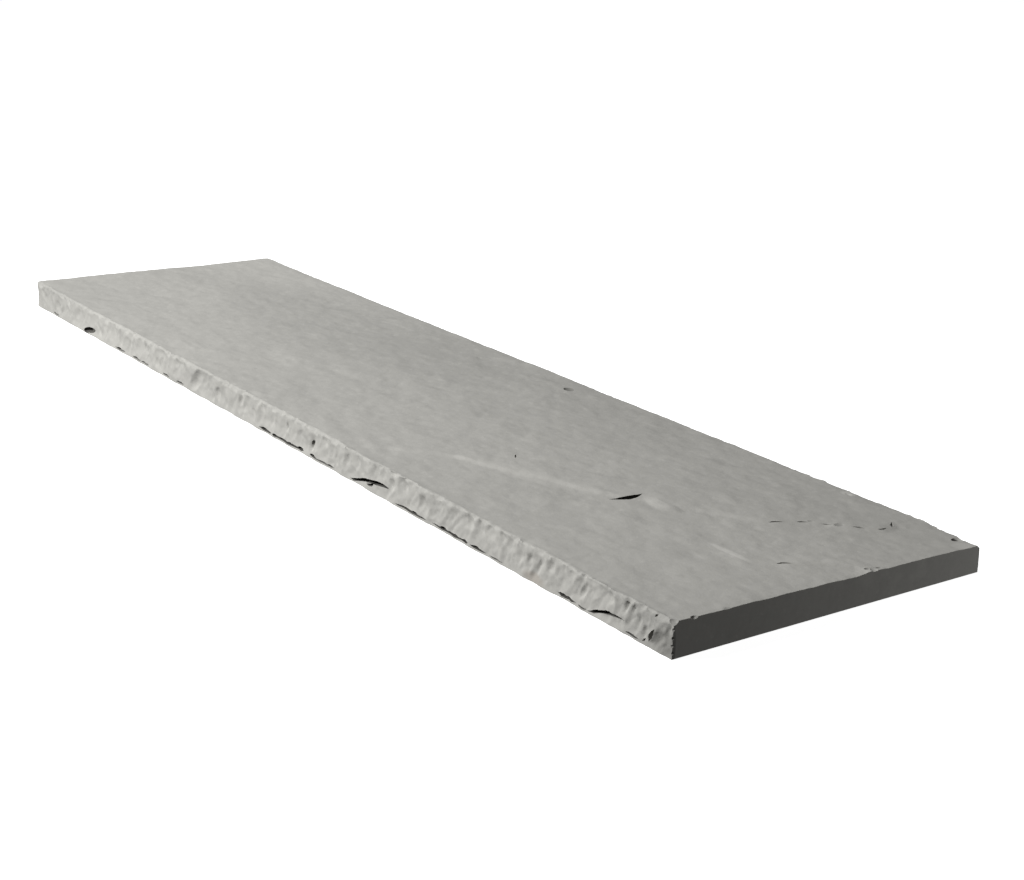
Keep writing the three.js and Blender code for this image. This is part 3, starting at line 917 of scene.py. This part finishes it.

# %% [markdown]
# The stone is an even grey with a little yellow in it. Close up it is mottled at several sizes: slow
# clouds a hand wide, pale and grey flecks a few centimetres long that lie along the stone, blotches
# the size of a thumbnail, specks, and the sand grains themselves. The parts that broke off last are
# paler than the rest, and the rims that face the lamp are paler still, as painted highlight. Broad
# patches add painted light and shade as well. All of it adds up to one tone, and the tone picks a
# colour between a darker and a lighter grey.

# %% Patterns in the colour
clouds = sandstone.noise(sandstone.stretched(place, (1, 2.2, 3)), 7, detail=3)
along_bedding = sandstone.stretched(place, (1, 1.8, 1.8), (0, 0, math.radians(8)))
pale_flecks = sandstone.between(sandstone.noise(along_bedding, 30, detail=3), 0.56, 0.72)
grey_flecks = sandstone.between(
    sandstone.noise(along_bedding, 23, detail=3, roughness=0.6), 0.57, 0.72)
blotches = sandstone.noise(sandstone.stretched(place, (1, 1.3, 1.3)), 110)
speckle = sandstone.noise(place, 330)
pale_grains = sandstone.between(sandstone.noise(place, 210, detail=1), 0.66, 0.74)
grain = sandstone.noise(place, 900)

# %% [markdown]
# Soft patches make parts of the stone greyer or paler. Where the light falls off across the top, and
# in the shade of the deep dent, of the rough right-hand end and of the front arris, they are painted
# light and painted shade; the patches on the left of the front edge are only darker or paler. Where
# a sheet broke off last the stone is paler, almost chalky along the sharpest rims, and the rims that
# face the lamp are paler still as painted highlight. Each such part is a soft round or oval patch,
# placed on the stone by its middle and its two half-sizes.

# %% Patches of the top and of the front edge
def top_patch(x_middle, y_middle, half_x, half_y):
    """A soft oval on the top, in millimetres."""
    return sandstone.patch(x, y, (x_middle * MM, y_middle * MM), (half_x * MM, half_y * MM))


def front_patch(x_middle, z_middle, half_x, half_z):
    """A soft oval on the front edge, in millimetres."""
    oval = sandstone.patch(x, z, (x_middle * MM, z_middle * MM), (half_x * MM, half_z * MM))
    return on_front * oval


# %% Parts of the stone that are greyer or paler than the rest, mostly painted shade and painted light
# Painted shade and painted light: the broad patches of the top, at the back, on the left, in the
# middle and in the far corner, stand in for how the light falls across it.
painted_back_shade = top_patch(30, 115, 290, 110)
painted_left_shade = top_patch(-250, 35, 210, 65)
# Painted shade on the front edge towards the right end, where the rough facets and undercuts lie in
# shade; the bump uses the same mask to make that end coarser.
coarse_shaded_right = on_front * sandstone.between(x, 440 * MM, 475 * MM)
dark_left = on_front * (1 - sandstone.between(x, -420 * MM, -385 * MM))
pale_left = front_patch(-330, 12, 130, 40)
painted_middle_shade = top_patch(-50, 60, 120, 55)
painted_corner_light = top_patch(-450, 100, 150, 80)
# Painted shade around the deep dent of the front edge.
dent_shade = front_patch(-130, 12, 45, 16)
# Painted shade along the front arris, which dims its highlight.
near_front = 1 - sandstone.between(y, FRONT + 1.5 * MM, FRONT + 3.5 * MM)
arris_shade = near_front * sandstone.between(z, 20 * MM, 22.5 * MM)
greyer_and_shaded = (
    painted_back_shade * 0.3 + painted_left_shade * 0.35 + painted_middle_shade * 0.25 + coarse_shaded_right * 0.9 + dark_left * 0.1
    + arris_shade * 0.4 + dent_shade * 0.3 - pale_left * 0.3 - painted_corner_light * 0.2)

# %% Parts that broke more recently, and are paler, with painted highlights on the rims that face the lamp
SCARP_TURN = math.radians(19.8)
from_middle = x - 240 * MM
above_middle = y + 47 * MM
along_scarp = from_middle * math.cos(SCARP_TURN) + above_middle * math.sin(SCARP_TURN)
across_scarp = above_middle * math.cos(SCARP_TURN) - from_middle * math.sin(SCARP_TURN)
# Painted highlights: the scarp, the rims, the lip and the chip that face the lamp are paler, partly
# as fresh stone and partly as painted light.
fresh_lit_scarp = sandstone.patch(along_scarp, across_scarp, (0, 0), (85 * MM, 11 * MM))
fresh_rim_highlight = top_patch(430, -24.5, 24, 3)
fresh_bend_highlight = top_patch(460, 0, 9, 17)
fresh_tongue_highlight = top_patch(474, 19, 6, 8)
fresh_lip_highlight = top_patch(331, -6, 18, 5)
fresh_chip_highlight = top_patch(181, -67, 7, 4)
fresh_flake = top_patch(384, 121, 7, 5)
fresh_corner = (1 - sawn) * top_patch(495, 115, 8, 9)
fresh_floor = top_patch(430, -15, 150, 110)
paler_and_highlit = (
    fresh_lit_scarp * 0.55 + fresh_rim_highlight * 1.1 + fresh_bend_highlight * 0.35 + fresh_tongue_highlight * 0.5 + fresh_lip_highlight * 0.7
    + fresh_chip_highlight * 0.8 + fresh_flake + fresh_corner * 0.6 + fresh_floor * 0.15)

# %% One tone, and the colour of clean stone
mottling = (clouds - 0.5) * 0.7 + (blotches - 0.5) * 0.6 + (speckle - 0.5) * 0.5
flecks = pale_flecks * 0.35 - grey_flecks * 0.3 + pale_grains * 0.3 + (grain - 0.5) * 0.5
tone = 0.5 + mottling + flecks + pitched_face * 0.1 + paler_and_highlit - greyer_and_shaded
sound_stone = sandstone.mix(tone, (0.358, 0.353, 0.331, 1), (0.442, 0.435, 0.407, 1))
# Paler still along the lit rims and the lip, which is partly painted highlight.
chalky_and_highlit = (
    fresh_rim_highlight * 0.55 + fresh_tongue_highlight * 0.25 + fresh_lip_highlight * 0.2 + fresh_chip_highlight * 0.3 + fresh_bend_highlight * 0.08
    + fresh_flake * 0.4 + fresh_corner * 0.15)
clean_stone = sandstone.mix(chalky_and_highlit, sound_stone, (0.56, 0.55, 0.52, 1))
tell(f"clean stone from {len(sandstone.nodes)} nodes")

# %% [markdown]
# Three things cover the clean stone. A rusty stain has bled out of the foot of the front edge, which
# is a soft patch of brown. The front of the right-hand corner is darkened with painted shade. And
# the cracks, gaps, pits and hollow are darkened with painted shade as well, where the attribute that
# the cutting tools left behind says how much of it.

# %% Rust, and painted shade on the right-hand corner and in the cuts
rust = front_patch(361, 3, 15, 5)
stained = sandstone.mix(rust * 0.5, clean_stone, (0.30, 0.262, 0.222, 1))
# Painted shade: how much of it each crack, gap, pit and hollow got from its cut.
recess_shade = sandstone.node("ShaderNodeAttribute", {"attribute_name": "recess_shade"}, output=2)
# Painted shade on the front edge at the right-hand end, where its rough facets lie in shade.
right_end_shade = (
    on_front * sandstone.between(x, 462 * MM, 490 * MM) * 0.06
    + front_patch(494, 8, 17, 12) * 0.32)
# Painted shade mixes the stone towards near black.
shaded_stone = sandstone.mix(recess_shade + right_end_shade, stained, (0.05, 0.047, 0.042, 1))
sandstone.give("Base Color", shaded_stone)

# %% [markdown]
# What is too small to model goes into the bump: the sand grains and the blotches, which are
# slightly raised or sunk. The corner that took the hardest knocks is the coarsest. The saw cut the
# grains through, so the sawn faces get less of it, and faint upright lines from the blade instead.
# Dry sandstone has no gloss to speak of, so the roughness is high everywhere, and only a little
# lower where the saw went.

# %% The feel of the stone
saw_lines = sandstone.noise(sandstone.stretched(place, (40, 1, 40)), 25)
grit = (grain * 0.6 + blotches * 0.4 + speckle * 1.2) * (1 - sawn * 0.6 + coarse_shaded_right * 1.2)
bump = sandstone.node(
    "ShaderNodeBump", None, Strength=0.4, Distance=0.25 * MM,
    Height=grit + saw_lines * sawn * 0.3)
sandstone.give("Normal", bump)
sandstone.give("Roughness", 0.93 - sawn * 0.08 + (grain - 0.5) * 0.12)
sandstone.give("Specular IOR Level", 0.25)
tell(f"sandstone from {len(sandstone.nodes)} nodes")

# %% [markdown]
# ## The stone takes the place of its plain model
#
# The frame holds a plain faceted stone. The finished one rides on the same body and replaces the
# plain one in every picture.

# %% Handing the stone to the frame
stone.data.materials.clear()
stone.data.materials.append(sandstone.material)
stone.name = "riven_coping_stone"
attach(stone, "root")
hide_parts("coping_stone")
print(f"{stone.name} rides on root and replaces coping_stone")

# %% [markdown]
# ## Floor
#
# The stone stands on a pale sweep of paper. The paper glows a little, so that it stays pale right
# up to the foot of the stone, but it throws none of that light back onto the stone: a broad white
# floor would fill in the shade of the end.

# %% A pale paper floor
bpy.ops.object.select_all(action="DESELECT")
UNDER_THE_BED = 0.3 * MM  # two faces in one plane would flicker
bpy.ops.mesh.primitive_plane_add(size=30, location=(0, 0, -UNDER_THE_BED))
floor = bpy.context.object
floor.name = "floor"
floor.visible_diffuse = False
floor.visible_glossy = False
paper = Finish("pale paper")
paper.give("Base Color", (0.8, 0.8, 0.8, 1))
paper.give("Roughness", 1.0)
paper.give("Emission Color", (1, 1, 1, 1))
paper.give("Emission Strength", 0.93)
floor.data.materials.append(paper.material)
floor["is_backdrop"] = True

# %% [markdown]
# ## Camera
#
# The camera stands off the right-hand end, about an arm's length above the stone, and looks along
# it. Its heading turns it about the upright, its tilt raises it from looking straight down, and its
# roll levels it by a last fraction of a degree.

# %% The camera
HEADING = math.radians(55.627)
TILT = math.radians(90 - 17.794)
ROLL = math.radians(0.736)
camera = new_object("camera", bpy.data.cameras.new("camera"))
camera.location = (1.264409, -0.762458, 0.448994)
turn = Matrix.Rotation(HEADING, 3, "Z") @ Matrix.Rotation(TILT, 3, "X")
camera.rotation_euler = (turn @ Matrix.Rotation(ROLL, 3, "Z")).to_euler()
camera.data.lens = 66.16
bpy.context.scene.camera = camera
print(f"camera {camera.location.length:.2f} m from the middle of the stone")

# %% [markdown]
# ## Lights
#
# One soft lamp stands high in front and does most of the work. It rakes over the riven top, and it
# faces the pitched front edge squarely enough to show every flake. The right-hand end turns away
# from it and stays dark, apart from what a small reflector low on that side gives its far half. A
# second reflector lifts the left of the top. A faint white world keeps the deepest shade open.

# %% Lamps
def lamp(name, location, target, size, power):
    """A square soft light that faces a point."""
    light = new_object(name, bpy.data.lights.new(name, "AREA"))
    light.location = location
    light.rotation_euler = (Vector(target) - light.location).to_track_quat("-Z", "Y").to_euler()
    light.data.size = size
    light.data.energy = power
    print(f"{name}: {power} W from {light.location.length:.2f} m")


lamp("key light", (-0.42, -1.52, 1.20), (0, 0, 0), 0.4, 55)
lamp("right reflector", (0.68, 0.50, 0.05), (0.5, 0.1, 0.01), 0.1, 0.66)
lamp("left reflector", (-1.0, 0.5, 0.5), (-0.4, 0.1, 0), 0.3, 2.6)

# %% The world, and plain colours
world = bpy.data.worlds.new("studio")
world.use_nodes = True
background = world.node_tree.nodes["Background"]
background.inputs["Color"].default_value = (1, 1, 1, 1)
background.inputs["Strength"].default_value = 0.07
bpy.context.scene.world = world
bpy.context.scene.view_settings.view_transform = "Standard"

# %% Both sizes
new_low, new_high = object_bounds()
for axis, name in enumerate("XYZ"):
    size = (new_high[axis] - new_low[axis]) / MM
    planned = (cad_high[axis] - cad_low[axis]) / MM
    print(f"{name}: {size:.2f} mm, where the plain model has {planned:.2f} mm")
